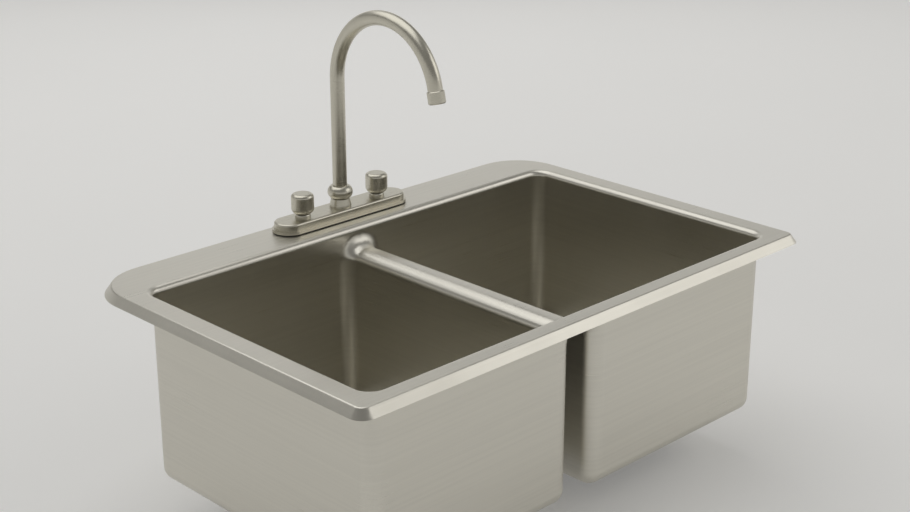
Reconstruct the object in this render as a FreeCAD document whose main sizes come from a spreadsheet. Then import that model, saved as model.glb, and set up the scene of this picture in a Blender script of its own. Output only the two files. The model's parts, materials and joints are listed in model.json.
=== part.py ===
import FreeCAD, Part

import math
import os
import re

import Sketcher
from FreeCAD import Placement, Rotation, Vector

# A drop-in kitchen sink: two deep bowls under one pressed deck, with a two-handle gooseneck tap.
# Millimetres and degrees. X runs along the sink to the right, Y to the back, Z up.
# X = Y = 0 is the middle of the rim, and Z = 0 is the worktop that the rim rests on.

SIZES = {
    # Rim and deck
    "rim_length": (838, "outside length of the rim"),
    "rim_width": (560, "outside width of the rim"),
    "rim_height": (12, "deck top above the worktop"),
    "rim_slope": (9, "run of the sloping outer edge"),
    "front_corner": (20, "radius of the rim's front corners, seen from above"),
    "rear_corner": (82, "radius of the rim's rear corners, seen from above"),
    "rim_round": (3, "rounding between the deck top and the slope"),
    "lip_round": (9, "rounding of the deck into the opening"),
    "gauge": (1.2, "thickness of the sheet"),
    # Bowls
    "side_ledge": (44, "rim edge to a bowl's end wall"),
    "front_ledge": (37, "rim edge to the front walls"),
    "rear_ledge": (90, "rim edge to the rear walls"),
    "divider_offset": (-9, "middle of the tub to the middle of the divider, along the sink"),
    "divider_width": (44, "width of the divider at its top"),
    "ridge_round": (18, "rounding of the divider's two long edges"),
    "bowl_depth": (272, "deck top to the bowl floors"),
    "bottom_round": (19, "rounding between walls and floor"),
    "corner_extra": (1, "how much larger the upright corners are rounded"),
    "flare_room": (1.5, "straight wall between the lip and the flared ends of the divider"),
    "pad_margin": (56, "bowl wall to the edge of its sound pad"),
    "pad_thickness": (3, "thickness of a sound pad"),
    "pad_corner": (20, "corner radius of a sound pad"),
    "pad_clearance": (8, "gap around the drain nut"),
    # Drains
    "flange_size": (90, "diameter of the drain flange"),
    "flange_height": (2.4, "flange top above the bowl floor"),
    "flange_edge": (0.9, "height of the flange at its edge"),
    "flange_bevel": (5, "width of the flange's sloping border"),
    "cup_opening": (70, "inside diameter of the drain cup"),
    "cup_depth": (36, "bowl floor to the bottom of the cup"),
    "cup_wall": (2.2, "wall of the cup, thread included"),
    "cup_floor": (2.4, "floor of the cup"),
    "seat_depth": (7, "bowl floor to the basket's seat"),
    "seat_width": (2, "width of the basket's seat"),
    "outlet_size": (48, "thread diameter of the drain outlet"),
    "outlet_bore": (40, "bore of the drain outlet"),
    "outlet_length": (26, "length of the drain outlet"),
    "drain_hole_clearance": (0.6, "gap between the cup and the hole in the bowl"),
    "drain_gasket_thickness": (3, "rubber ring under the bowl"),
    "drain_washer_thickness": (0.8, "slip ring under the rubber"),
    "drain_nut_height": (11, "height of the drain nut"),
    "drain_nut_wall": (5, "wall of the drain nut"),
    "drain_nut_lug": (4, "reach of the nut's lugs"),
    "drain_nut_lug_width": (10, "width of a lug"),
    "drain_nut_lug_count": (6, "number of lugs"),
    # Baskets
    "basket_gap": (0.5, "gap between a basket and its cup"),
    "basket_rim_height": (1.6, "height of the basket's rim"),
    "basket_sheet": (1, "thickness of the basket's sheet"),
    "basket_depth": (17, "basket rim to the basket's floor"),
    "basket_taper": (6, "how much the basket narrows"),
    "basket_hole": (4, "diameter of a basket hole"),
    "basket_outer_ring": (18, "radius of the outer ring of holes"),
    "basket_outer_count": (14, "holes in the outer ring"),
    "basket_inner_ring": (9, "radius of the inner ring of holes"),
    "basket_inner_count": (7, "holes in the inner ring"),
    # Tap base
    "faucet_setback": (40, "rim edge to the tap's middle line"),
    "base_end": (50, "middle of a knob to the near end of the tap's base plate"),
    "base_width": (50, "width of the tap's base plate"),
    "base_height": (16, "top of the base plate above the deck"),
    "base_skirt": (4, "height of the base plate's lower step"),
    "base_step": (3, "width of that step"),
    "base_round": (3, "rounding of the base plate's top edge"),
    "base_wall": (2.2, "wall of the base plate"),
    "base_gasket_thickness": (1.6, "rubber mat under the base plate"),
    "base_gasket_inset": (1.5, "edge of the plate to the edge of the mat"),
    "handle_pitch": (142, "distance between the two knobs"),
    # Shanks and what they carry
    "shank_size": (22, "thread diameter of a shank under the deck"),
    "shank_length": (46, "shank below the deck top"),
    "supply_size": (20.6, "thread diameter at the lower end of a shank, for the supply hose"),
    "supply_length": (24, "length of the thread for the supply hose"),
    "shank_bore": (12, "bore of a supply shank"),
    "shank_hole_clearance": (1.2, "gap between a shank and its deck hole"),
    "shank_washer_size": (34, "diameter of a shank washer"),
    "shank_washer_thickness": (1.6, "thickness of a shank washer"),
    "shank_nut_size": (28, "width of a shank nut across its flats"),
    "shank_nut_height": (8, "height of a shank nut"),
    "thread_clearance": (0.2, "radial gap in a threaded joint"),
    "foot_size": (32, "diameter of the foot of a valve or hub"),
    "foot_height": (4, "height of that foot"),
    "body_size": (25, "diameter of a valve body or hub inside the base plate"),
    "neck_size": (21, "thread diameter of the hub above the base plate"),
    "valve_neck_size": (19, "thread diameter of a valve above the base plate"),
    "neck_height": (2.5, "neck above the base plate"),
    "neck_clearance": (0.4, "gap between a neck and the plate"),
    # Valves and knobs
    "cartridge_size": (16, "diameter of a valve cartridge"),
    "cartridge_depth": (12, "cartridge below the deck top"),
    "cartridge_fit": (0.05, "radial gap around a cartridge"),
    "stem_size": (8, "diameter of a stem"),
    "stem_foot_size": (12, "diameter of a stem's foot"),
    "stem_foot_height": (7, "height of a stem's foot"),
    "running_clearance": (0.05, "radial running fit"),
    "end_play": (0.3, "gap above a part that turns"),
    "bonnet_size": (22.4, "diameter of a bonnet nut"),
    "bonnet_top": (1.6, "thickness of the bonnet nut's top"),
    "knob_gap": (0.8, "gap between a bonnet nut and its knob"),
    "knob_size": (33, "diameter of a knob"),
    "knob_foot_size": (18, "diameter of a knob's foot"),
    "knob_taper_height": (8.5, "height of the curve between a knob's foot and its straight side"),
    "knob_height": (30, "height of a knob"),
    "knob_round": (5.5, "rounding of a knob's top edge"),
    "knob_skirt_depth": (3, "depth of the hollow under a knob"),
    "knob_skirt_gap": (2, "gap between a stem and the wall of that hollow"),
    "knob_web": (3, "thickness of the web under the knob screw"),
    "knob_cap_size": (18, "diameter of an index cap"),
    "knob_cap_height": (3, "height of an index cap"),
    "knob_cap_gap": (0.1, "radial gap around an index cap"),
    "knob_screw_size": (4, "thread diameter of a knob screw"),
    "knob_screw_length": (10, "screw thread inside the stem"),
    "knob_screw_head": (8, "diameter of the screw's head"),
    "knob_screw_head_height": (2.6, "height of the screw's head"),
    "screw_clearance": (0.25, "radial gap around a screw"),
    # Waterways
    "waterway_size": (8, "diameter of a waterway tube"),
    "waterway_bore": (5.6, "bore of a waterway tube"),
    "waterway_level": (8, "middle of the waterways above the deck"),
    # Spout
    "spout_size": (21, "diameter of the spout tube"),
    "spout_wall": (2, "wall of the spout tube"),
    "spout_rise": (207, "deck top to the start of the arc"),
    "spout_radius": (102, "middle radius of the arc"),
    "spout_sweep": (168, "angle of the arc"),
    "spout_tip": (14, "straight end of the spout"),
    "post_gap": (0.5, "radial gap between the hub's post and the spout's bore"),
    "post_height": (30, "post above the hub's neck"),
    "hub_bore": (8, "bore of the hub's post"),
    "ring_section": (1.6, "thickness of an O-ring"),
    "ring_gap": (0.05, "gap around an O-ring"),
    "ring_low": (8, "hub's neck to the lower O-ring"),
    "ring_high": (20, "hub's neck to the upper O-ring"),
    "bush_height": (5, "height of the bush that the spout stands on"),
    "bush_gap": (0.1, "radial gap around the bush"),
    "retainer_height": (2, "height of the ring that keeps the spout in"),
    "retainer_width": (1.5, "width of that ring"),
    "spout_nut_size": (32, "diameter of the spout nut at its foot"),
    "spout_nut_top": (27, "diameter of the spout nut at its top"),
    "spout_nut_lip": (2.4, "thickness of the spout nut's top lip"),
    "moving_clearance": (0.35, "gap between the spout and what stands still"),
    "collar_size": (37, "diameter of the round collar on the spout"),
    "collar_end": (26, "diameter of the collar's two ends"),
    "collar_height": (19, "height of the round collar"),
    # Aerator
    "aerator_size": (24.5, "diameter of the aerator's shell"),
    "aerator_cover": (12, "how far the shell reaches up the spout"),
    "aerator_chamber": (4.4, "room below the spout's end"),
    "aerator_lip": (1.2, "thickness of the shell's bottom lip"),
    "aerator_mouth": (15, "opening of the shell"),
    "aerator_washer_thickness": (1.4, "rubber ring at the spout's end"),
    "aerator_gap": (0.15, "radial gap around what the shell holds"),
    "aerator_hole": (2.4, "diameter of a hole in the insert"),
    "aerator_hole_ring": (4.6, "radius of the ring of holes"),
    "aerator_hole_count": (6, "holes in the ring"),
}

doc = FreeCAD.newDocument("kitchen_sink")
sheet = doc.addObject("Spreadsheet::Sheet", "Sizes")
for row, (name, (number, meaning)) in enumerate(SIZES.items(), 1):
    sheet.set(f"A{row}", meaning)
    sheet.set(f"B{row}", str(number))
    sheet.setAlias(f"B{row}", name)
doc.recompute()

# Places that several pieces share
TUB_LEFT = "(side_ledge - rim_length / 2)"
TUB_RIGHT = "(rim_length / 2 - side_ledge)"
TUB_FRONT = "(front_ledge - rim_width / 2)"
TUB_BACK = "(rim_width / 2 - rear_ledge)"
TUB_MIDDLE = f"(({TUB_FRONT} + {TUB_BACK}) / 2)"
DIVIDER_LEFT = "(divider_offset - divider_width / 2)"
DIVIDER_RIGHT = "(divider_offset + divider_width / 2)"
BOWL_CORNER = "(bottom_round + corner_extra)"
SEAM = "(rim_height - lip_round)"
RIDGE = f"({SEAM} - flare_room - {BOWL_CORNER})"
FLOOR = "(rim_height - bowl_depth)"
UNDER_FLOOR = f"({FLOOR} - gauge)"
UNDER_DECK = "(rim_height - gauge)"
LEFT_DRAIN = f"(({TUB_LEFT} + {DIVIDER_LEFT}) / 2)"
RIGHT_DRAIN = f"(({DIVIDER_RIGHT} + {TUB_RIGHT}) / 2)"
CUP_OUTSIDE = "(cup_opening / 2 + cup_wall)"
DRAIN_NUT_OUTSIDE = f"({CUP_OUTSIDE} + drain_nut_wall)"
FAUCET_LINE = "(rim_width / 2 - faucet_setback)"
BASE_LENGTH = "(handle_pitch + 2 * base_end)"
NECK_TOP = "(base_height + neck_height)"
BONNET_TOP = f"({NECK_TOP} + end_play + bonnet_top)"
KNOB_FOOT = f"({BONNET_TOP} + knob_gap)"
KNOB_TOP = f"({KNOB_FOOT} + knob_height)"
WEB_TOP = f"({KNOB_TOP} - knob_cap_height - knob_screw_head_height - end_play)"
STEM_TOP = f"({WEB_TOP} - knob_web)"
SPOUT_FOOT = f"({NECK_TOP} + bush_height)"
SPOUT_NUT_TOP = f"({SPOUT_FOOT} + retainer_height + moving_clearance + spout_nut_lip)"
COLLAR_FOOT = f"({SPOUT_NUT_TOP} + moving_clearance)"
SPOUT_BORE = "(spout_size / 2 - spout_wall)"
POST = f"({SPOUT_BORE} - post_gap)"


# Helpers: bound sizes and sketches

def bound(expression):
    """The expression with each size's name pointed at its cell."""
    return re.sub(r"[a-z_]+", lambda word: f"Sizes.{word[0]}" if word[0] in SIZES else word[0], expression)


def value(expression):
    """The number that an expression stands for now."""
    return float(sheet.evalExpression(bound(expression)))


def bind(item, prop, expression):
    item.setExpression(prop, bound(expression))


def place_at(item, place):
    """Binds where an object stands."""
    for axis, expression in zip("xyz", place):
        bind(item, f"Placement.Base.{axis}", expression)


def new_body(label, place=("0", "0", "0")):
    body = doc.addObject("PartDesign::Body", label)
    place_at(body, place)
    return body


def new_sketch(body, plane, lift="0"):
    """An empty sketch on one of the body's own planes, lifted off it along the plane's normal."""
    sketch = body.newObject("Sketcher::SketchObject", f"{body.Name}_sketch")
    support = next(item for item in body.Origin.OriginFeatures if item.Role == plane)
    sketch.AttachmentSupport = [(support, "")]
    sketch.MapMode = "FlatFace"
    bind(sketch, "AttachmentOffset.Base.z", lift)
    return sketch


def pin(sketch, geometry, point, across, up):
    """Holds one point of a sketch at a bound place."""
    for kind, axis, expression in (("DistanceX", -2, across), ("DistanceY", -1, up)):
        if expression == "0":
            sketch.addConstraint(Sketcher.Constraint("PointOnObject", geometry, point, axis))
            continue
        held = Sketcher.Constraint(kind, -1, 1, geometry, point, value(expression))
        index = sketch.addConstraint(held)
        bind(sketch, f"Constraints[{index}]", expression)


def arc_between(start, end, radius, turn):
    """The short arc from start to end; turn is 1 where it bends to the left and -1 to the right."""
    chord = end - start
    sagging = math.sqrt(max(radius ** 2 - (chord.Length / 2) ** 2, 0))
    side = Vector(-chord.y, chord.x, 0).normalize() * turn
    middle = (start + end) * 0.5 + side * sagging
    first, last = (start, end) if turn > 0 else (end, start)
    angles = [math.atan2(spot.y - middle.y, spot.x - middle.x) for spot in (first, last)]
    return Part.ArcOfCircle(Part.Circle(middle, Vector(0, 0, 1), radius), *angles)


def outline(sketch, points):
    """Draws a closed outline. A point is (across, up), or (across, up, radius, turn) before an arc."""
    spots = [Vector(value(point[0]), value(point[1]), 0) for point in points]
    ends = []
    for point, start, end in zip(points, spots, spots[1:] + spots[:1]):
        if len(point) == 2:
            index = sketch.addGeometry(Part.LineSegment(start, end))
            ends.append((index, 1, 2))
            continue
        radius, turn = point[2], point[3]
        index = sketch.addGeometry(arc_between(start, end, value(radius), turn))
        ends.append((index, 1, 2) if turn > 0 else (index, 2, 1))
        held = sketch.addConstraint(Sketcher.Constraint("Radius", index, value(radius)))
        bind(sketch, f"Constraints[{held}]", radius)
    for (index, start, end), following in zip(ends, ends[1:] + ends[:1]):
        sketch.addConstraint(Sketcher.Constraint("Coincident", index, end, following[0], following[1]))
    for (index, start, end), point in zip(ends, points):
        pin(sketch, index, start, point[0], point[1])


def circle(sketch, across, up, diameter):
    spot = Vector(value(across), value(up), 0)
    index = sketch.addGeometry(Part.Circle(spot, Vector(0, 0, 1), value(diameter) / 2))
    held = sketch.addConstraint(Sketcher.Constraint("Diameter", index, value(diameter)))
    bind(sketch, f"Constraints[{held}]", diameter)
    if (across, up) == ("0", "0"):
        sketch.addConstraint(Sketcher.Constraint("Coincident", index, 3, -1, 1))
    else:
        pin(sketch, index, 3, across, up)


def rounded_rectangle(left, low, right, high, low_radius, high_radius):
    """Points of a rectangle with rounded corners, anticlockwise; low and high corners have a radius each."""
    return [
        (f"{left} + {low_radius}", low),
        (f"{right} - {low_radius}", low, low_radius, 1),
        (right, f"{low} + {low_radius}"),
        (right, f"{high} - {high_radius}", high_radius, 1),
        (f"{right} - {high_radius}", high),
        (f"{left} + {high_radius}", high, high_radius, 1),
        (left, f"{high} - {high_radius}"),
        (left, f"{low} + {low_radius}", low_radius, 1),
    ]


def oblong(length, width):
    """Points of a bar with round ends, about the origin; each end is two quarter arcs."""
    radius = f"({width}) / 2"
    flat = f"(({length}) / 2 - {radius})"
    return [
        (f"-{flat}", f"-({radius})"),
        (flat, f"-({radius})", radius, 1),
        (f"({length}) / 2", "0", radius, 1),
        (flat, radius),
        (f"-{flat}", radius, radius, 1),
        (f"-({length}) / 2", "0", radius, 1),
    ]


# Helpers: features

def pad(body, sketch, length, taper="0"):
    feature = body.newObject("PartDesign::Pad", f"{body.Name}_pad")
    feature.Profile = sketch
    bind(feature, "Length", length)
    bind(feature, "TaperAngle", taper)
    return feature


def pocket(body, sketch, depth=None, both_ways=False):
    """Cuts a sketch into the body, right through where no depth is given."""
    feature = body.newObject("PartDesign::Pocket", f"{body.Name}_pocket")
    feature.Profile = sketch
    feature.Midplane = both_ways
    if depth is None:
        feature.Type = "ThroughAll"
    else:
        bind(feature, "Length", depth)
    return feature


def bored(body, circles, lift, depth=None):
    """Cuts round holes downwards from a level of the body."""
    sketch = new_sketch(body, "XY_Plane", lift)
    for across, up, diameter in circles:
        circle(sketch, across, up, diameter)
    return pocket(body, sketch, depth)


def ring_of(body, feature, count):
    """Repeats a feature around the body's upright axis."""
    pattern = body.newObject("PartDesign::PolarPattern", f"{body.Name}_pattern")
    pattern.Originals = [feature]
    pattern.Axis = (feature.Profile[0], ["N_Axis"])
    pattern.Angle = 360
    bind(pattern, "Occurrences", count)
    body.Tip = pattern
    return pattern


def rounded(body, feature, radius, chosen):
    """Rounds the edges of a feature that a test picks."""
    doc.recompute()
    names = [f"Edge{index}" for index, edge in enumerate(feature.Shape.Edges, 1) if chosen(edge)]
    fillet = body.newObject("PartDesign::Fillet", f"{body.Name}_round")
    fillet.Base = (feature, names)
    bind(fillet, "Radius", radius)
    return fillet


def shelled(body, feature, wall, level):
    """Hollows a feature out through its flat face at a level."""
    doc.recompute()
    faces = feature.Shape.Faces
    names = [f"Face{index}" for index, face in enumerate(faces, 1) if is_level(face, level)]
    shell = body.newObject("PartDesign::Thickness", f"{body.Name}_shell")
    shell.Base = (feature, names)
    shell.Reversed = True
    bind(shell, "Value", wall)
    return shell


def is_level(item, level):
    """True for an edge or face that lies flat at a height."""
    box = item.BoundBox
    height = value(level)
    return abs(box.ZMin - height) < 1e-4 and abs(box.ZMax - height) < 1e-4


def turned(label, place, points):
    """A body turned about its own upright axis from an outline of (radius, height) points."""
    body = new_body(label, place)
    sketch = new_sketch(body, "XZ_Plane")
    outline(sketch, points)
    turning = body.newObject("PartDesign::Revolution", f"{label}_turning")
    turning.Profile = sketch
    turning.ReferenceAxis = (sketch, ["V_Axis"])
    turning.Angle = 360
    return body


def ring(label, place, inside, outside, low, high):
    """A plain ring between two radii and two heights."""
    return turned(label, place, [(inside, low), (outside, low), (outside, high), (inside, high)])


# Sink

def deck_block(label, skin):
    """The deck as a full block, its outside moved inwards by a skin's thickness."""
    body = new_body(label)
    leaning = f"({skin} * sqrt(rim_slope ^ 2 + rim_height ^ 2) / rim_height)"
    right, back = f"(rim_length / 2 - {leaning})", f"(rim_width / 2 - {leaning})"
    top = f"(rim_height - {skin})"
    sketch = new_sketch(body, "XY_Plane")
    outline(sketch, rounded_rectangle(f"-{right}", f"-{back}", right, back,
                                      f"(front_corner - {leaning})", f"(rear_corner - {leaning})"))
    pad(body, sketch, top, "-atan(rim_slope / rim_height)")
    opening = new_sketch(body, "XY_Plane", top)
    corner = f"({BOWL_CORNER} + {skin})"
    outline(opening, rounded_rectangle(f"({TUB_LEFT} - {skin})", f"({TUB_FRONT} - {skin})",
                                       f"({TUB_RIGHT} + {skin})", f"({TUB_BACK} + {skin})", corner, corner))
    framed = pocket(body, opening)
    lip = rounded(body, framed, f"lip_round - {skin}",
                  lambda edge: is_level(edge, top) and in_opening(edge, skin))
    rounded(body, lip, f"rim_round - {skin}",
            lambda edge: is_level(edge, top) and not in_opening(edge, "lip_round"))
    return body


def sink_deck():
    """The pressed deck: sloping rim, one opening with a rolled lip, three holes for the tap."""
    outside = deck_block("deck_outside", "0")
    hole = "shank_size + 2 * shank_hole_clearance"
    spots = [(spot, FAUCET_LINE, hole) for spot in ("-handle_pitch / 2", "0", "handle_pitch / 2")]
    bored(outside, spots, "rim_height", "2 * gauge")
    inside = deck_block("deck_inside", "gauge")
    below_seam = new_sketch(inside, "XY_Plane")
    reach = "2 * gauge"
    left, right = f"{TUB_LEFT} - {reach}", f"{TUB_RIGHT} + {reach}"
    front, back = f"{TUB_FRONT} - {reach}", f"{TUB_BACK} + {reach}"
    outline(below_seam, [(left, front), (right, front), (right, back), (left, back)])
    pad(inside, below_seam, SEAM)
    piece = doc.addObject("Part::Cut", "sink_deck")
    piece.Base = outside
    piece.Tool = inside
    return piece


def in_opening(edge, margin):
    """True for an edge inside the deck's opening, the opening taken larger by a margin."""
    box = edge.BoundBox
    grown = value(margin) + 0.01
    across = box.XMin > value(TUB_LEFT) - grown and box.XMax < value(TUB_RIGHT) + grown
    return across and box.YMin > value(TUB_FRONT) - grown and box.YMax < value(TUB_BACK) + grown


def tub_block(label, skin):
    """The room inside both bowls as a full block, the lowered divider left out, made larger by a skin."""
    body = new_body(label)
    left, right = f"({TUB_LEFT} - {skin})", f"({TUB_RIGHT} + {skin})"
    front, back = f"({TUB_FRONT} - {skin})", f"({TUB_BACK} + {skin})"
    floor = f"({FLOOR} - {skin})"
    sketch = new_sketch(body, "XY_Plane", SEAM)
    outline(sketch, [(left, front), (right, front), (right, back), (left, back)])
    pad(body, sketch, f"{SEAM} - {floor}").Reversed = True
    divider = new_sketch(body, "XZ_Plane")
    near, far = f"({DIVIDER_LEFT} + {skin})", f"({DIVIDER_RIGHT} - {skin})"
    ridge, turn = f"({RIDGE} - {skin})", f"(ridge_round - {skin})"
    outline(divider, [
        (near, f"2 * {floor}"),
        (far, f"2 * {floor}"),
        (far, f"{ridge} - {turn}", turn, 1),
        (f"{far} - {turn}", ridge),
        (f"{near} + {turn}", ridge, turn, 1),
        (near, f"{ridge} - {turn}"),
    ])
    divided = pocket(body, divider, both_ways=True)
    half_width = value(f"({TUB_BACK} - {TUB_FRONT}) / 2")

    def is_upright(edge):
        """True for the upright corners and for the ends of the ridge."""
        return edge.BoundBox.YLength < half_width and not is_level(edge, SEAM) and not is_level(edge, floor)

    upright = rounded(body, divided, f"{BOWL_CORNER} + {skin}", is_upright)
    rounded(body, upright, f"bottom_round + {skin}", lambda edge: is_level(edge, floor))
    return body


def drawn_bowls():
    """Both bowls as one skin of sheet around the tub's room."""
    drawn = doc.addObject("Part::Cut", "drawn_bowls")
    drawn.Base = tub_block("tub_outside", "gauge")
    drawn.Tool = tub_block("tub_inside", "0")
    return drawn


def bowl(side, drawn, near, far, drain):
    """One bowl: its half of the drawn sheet, up to the seam along the ridge, with its drain hole."""
    half = doc.addObject("Part::Box", f"{side}_half")
    bind(half, "Length", f"{far} - {near}")
    bind(half, "Width", "2 * rim_width")
    bind(half, "Height", "2 * bowl_depth")
    place_at(half, (near, "-rim_width", "-bowl_depth"))
    blank = doc.addObject("Part::Common", f"{side}_blank")
    blank.Base = drawn
    blank.Tool = half
    hole = doc.addObject("Part::Cylinder", f"{side}_drain_hole")
    bind(hole, "Radius", f"{CUP_OUTSIDE} + drain_hole_clearance")
    bind(hole, "Height", "4 * gauge")
    place_at(hole, (drain, TUB_MIDDLE, f"{FLOOR} - 2 * gauge"))
    piece = doc.addObject("Part::Cut", f"{side}_bowl")
    piece.Base = blank
    piece.Tool = hole
    return piece


def sound_pad(side, near, far, drain):
    """A rubber pad under a bowl's floor, cut clear of the drain nut."""
    body = new_body(f"{side}_sound_pad", ("0", "0", f"{UNDER_FLOOR} - pad_thickness"))
    sketch = new_sketch(body, "XY_Plane")
    outline(sketch, rounded_rectangle(f"{near} + pad_margin", f"{TUB_FRONT} + pad_margin",
                                      f"{far} - pad_margin", f"{TUB_BACK} - pad_margin",
                                      "pad_corner", "pad_corner"))
    circle(sketch, drain, TUB_MIDDLE, f"2 * ({DRAIN_NUT_OUTSIDE} + drain_nut_lug + pad_clearance)")
    pad(body, sketch, "pad_thickness")
    return body


def strainer_body(side, place):
    """The polished flange, the cup with a seat for the basket, and the threaded outlet."""
    under = "(cup_depth + cup_floor)"
    return turned(f"{side}_strainer_body", place, [
        ("cup_opening / 2", "flange_height"),
        ("cup_opening / 2", "-seat_depth"),
        ("cup_opening / 2 - seat_width", "-seat_depth"),
        ("cup_opening / 2 - seat_width", "-cup_depth"),
        ("outlet_bore / 2", "-cup_depth"),
        ("outlet_bore / 2", f"-({under} + outlet_length)"),
        ("outlet_size / 2", f"-({under} + outlet_length)"),
        ("outlet_size / 2", f"-{under}"),
        (CUP_OUTSIDE, f"-{under}"),
        (CUP_OUTSIDE, "0"),
        ("flange_size / 2", "0"),
        ("flange_size / 2", "flange_edge"),
        ("flange_size / 2 - flange_bevel", "flange_height"),
    ])


def strainer_basket(side, place):
    """The loose cup with a pierced floor that rests on the seat in the drain cup."""
    top = "(basket_rim_height - seat_depth)"
    wall = "(cup_opening / 2 - seat_width - basket_gap)"
    foot = f"({wall} - basket_taper)"
    base = f"({top} - basket_depth)"
    body = turned(f"{side}_strainer_basket", place, [
        ("0", base),
        (foot, base),
        (wall, "-seat_depth"),
        ("cup_opening / 2 - basket_gap", "-seat_depth"),
        ("cup_opening / 2 - basket_gap", top),
        (f"{wall} - basket_sheet", top),
        (f"{foot} - basket_sheet", f"{base} + basket_sheet"),
        ("0", f"{base} + basket_sheet"),
    ])
    for name in ("outer", "inner"):
        spot = (f"basket_{name}_ring", "0", "basket_hole")
        hole = bored(body, [spot], f"{base} + 2 * basket_sheet", "4 * basket_sheet")
        ring_of(body, hole, f"basket_{name}_count")
    return body


def strainer_locknut(side, place, top):
    """The large nut that draws the drain down, with lugs around it."""
    label = f"{side}_strainer_locknut"
    low = f"({top} - drain_nut_height)"
    body = ring(label, place, f"{CUP_OUTSIDE} + thread_clearance", DRAIN_NUT_OUTSIDE, low, top)
    sketch = new_sketch(body, "XY_Plane", low)
    half = "drain_nut_lug_width / 2"
    near, far = f"({DRAIN_NUT_OUTSIDE} - drain_nut_wall / 2)", f"({DRAIN_NUT_OUTSIDE} + drain_nut_lug)"
    outline(sketch, [(near, f"-{half}"), (far, f"-{half}"), (far, half), (near, half)])
    ring_of(body, pad(body, sketch, "drain_nut_height"), "drain_nut_lug_count")
    return body


def drain(side, spot):
    place = (spot, TUB_MIDDLE, FLOOR)
    gasket_low = "(-gauge - drain_gasket_thickness)"
    washer_low = f"({gasket_low} - drain_washer_thickness)"
    inside = f"({CUP_OUTSIDE} + thread_clearance)"
    return [
        strainer_body(side, place),
        strainer_basket(side, place),
        ring(f"{side}_strainer_gasket", place, inside, DRAIN_NUT_OUTSIDE, gasket_low, "-gauge"),
        ring(f"{side}_friction_washer", place, inside, DRAIN_NUT_OUTSIDE, washer_low, gasket_low),
        strainer_locknut(side, place, washer_low),
    ]


# Tap, each piece in a frame whose origin is on the deck's top under the piece's own axis

def tap_place(across):
    return (across, FAUCET_LINE, "rim_height")


def post_spots(valve, hub):
    """Three circles: the two valves and the hub, each of its own diameter."""
    return [("-handle_pitch / 2", "0", valve), ("0", "0", hub), ("handle_pitch / 2", "0", valve)]


def faucet_base():
    """The hollow oblong cover plate with a low step around it."""
    body = new_body("faucet_base", tap_place("0"))
    skirt_sketch = new_sketch(body, "XY_Plane", "base_gasket_thickness")
    outline(skirt_sketch, oblong(BASE_LENGTH, "base_width"))
    pad(body, skirt_sketch, "base_skirt")
    upper_sketch = new_sketch(body, "XY_Plane", "base_gasket_thickness")
    outline(upper_sketch, oblong(f"{BASE_LENGTH} - 2 * base_step", "base_width - 2 * base_step"))
    upper = pad(body, upper_sketch, "base_height - base_gasket_thickness")
    soft = rounded(body, upper, "base_round", lambda edge: is_level(edge, "base_height"))
    shelled(body, soft, "base_wall", "base_gasket_thickness")
    necks = post_spots("valve_neck_size + 2 * neck_clearance", "neck_size + 2 * neck_clearance")
    bored(body, necks, "base_height", "2 * base_wall")
    return body


def base_gasket():
    """The rubber mat between the cover plate and the deck."""
    body = new_body("base_gasket", tap_place("0"))
    sketch = new_sketch(body, "XY_Plane")
    outline(sketch, oblong(f"{BASE_LENGTH} - 2 * base_gasket_inset", "base_width - 2 * base_gasket_inset"))
    foot = "foot_size + 2 * neck_clearance"
    for across, up, diameter in post_spots(foot, foot):
        circle(sketch, across, up, diameter)
    pad(body, sketch, "base_gasket_thickness")
    return body


def shank_outline(neck):
    """The outside of a valve body or of the hub, from the shank's end to the top of its neck."""
    return [
        ("supply_size / 2", "-shank_length"),
        ("supply_size / 2", "supply_length - shank_length"),
        ("shank_size / 2", "supply_length - shank_length"),
        ("shank_size / 2", "0"),
        ("foot_size / 2", "0"),
        ("foot_size / 2", "foot_height"),
        ("body_size / 2", "foot_height"),
        ("body_size / 2", "base_height - 2 * base_wall"),
        (f"{neck} / 2", "base_height - 2 * base_wall"),
        (f"{neck} / 2", NECK_TOP),
    ]


def waterway_hole(body):
    """Cuts the waterway's bore into one side of a valve body or through the hub."""
    sketch = new_sketch(body, "YZ_Plane")
    circle(sketch, "0", "waterway_level", "waterway_bore")
    return pocket(body, sketch, "body_size")


def spout_hub():
    """The brass hub: a solid shank below, and a hollow post with two grooves that the spout turns on."""
    groove = f"({SPOUT_BORE} - 2 * ring_gap - ring_section)"
    half = "(ring_section / 2 + 2 * ring_gap)"
    points = [("0", "-shank_length")] + shank_outline("neck_size") + [(POST, NECK_TOP)]
    for level in (f"({NECK_TOP} + ring_low)", f"({NECK_TOP} + ring_high)"):
        points += [(POST, f"{level} - {half}"), (groove, f"{level} - {half}")]
        points += [(groove, f"{level} + {half}"), (POST, f"{level} + {half}")]
    top = f"{NECK_TOP} + post_height"
    bore_foot = "waterway_level - waterway_bore"
    points += [(POST, top), ("hub_bore / 2", top), ("hub_bore / 2", bore_foot), ("0", bore_foot)]
    body = turned("spout_hub", tap_place("0"), points)
    waterway_hole(body).Midplane = True
    return body


def o_ring(label, height):
    """One rubber ring in a groove of the hub's post."""
    piece = doc.addObject("Part::Torus", label)
    bind(piece, "Radius2", "ring_section / 2")
    bind(piece, "Radius1", f"{SPOUT_BORE} - ring_gap - ring_section / 2")
    place_at(piece, ("0", FAUCET_LINE, f"rim_height + {NECK_TOP} + {height}"))
    return piece


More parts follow.
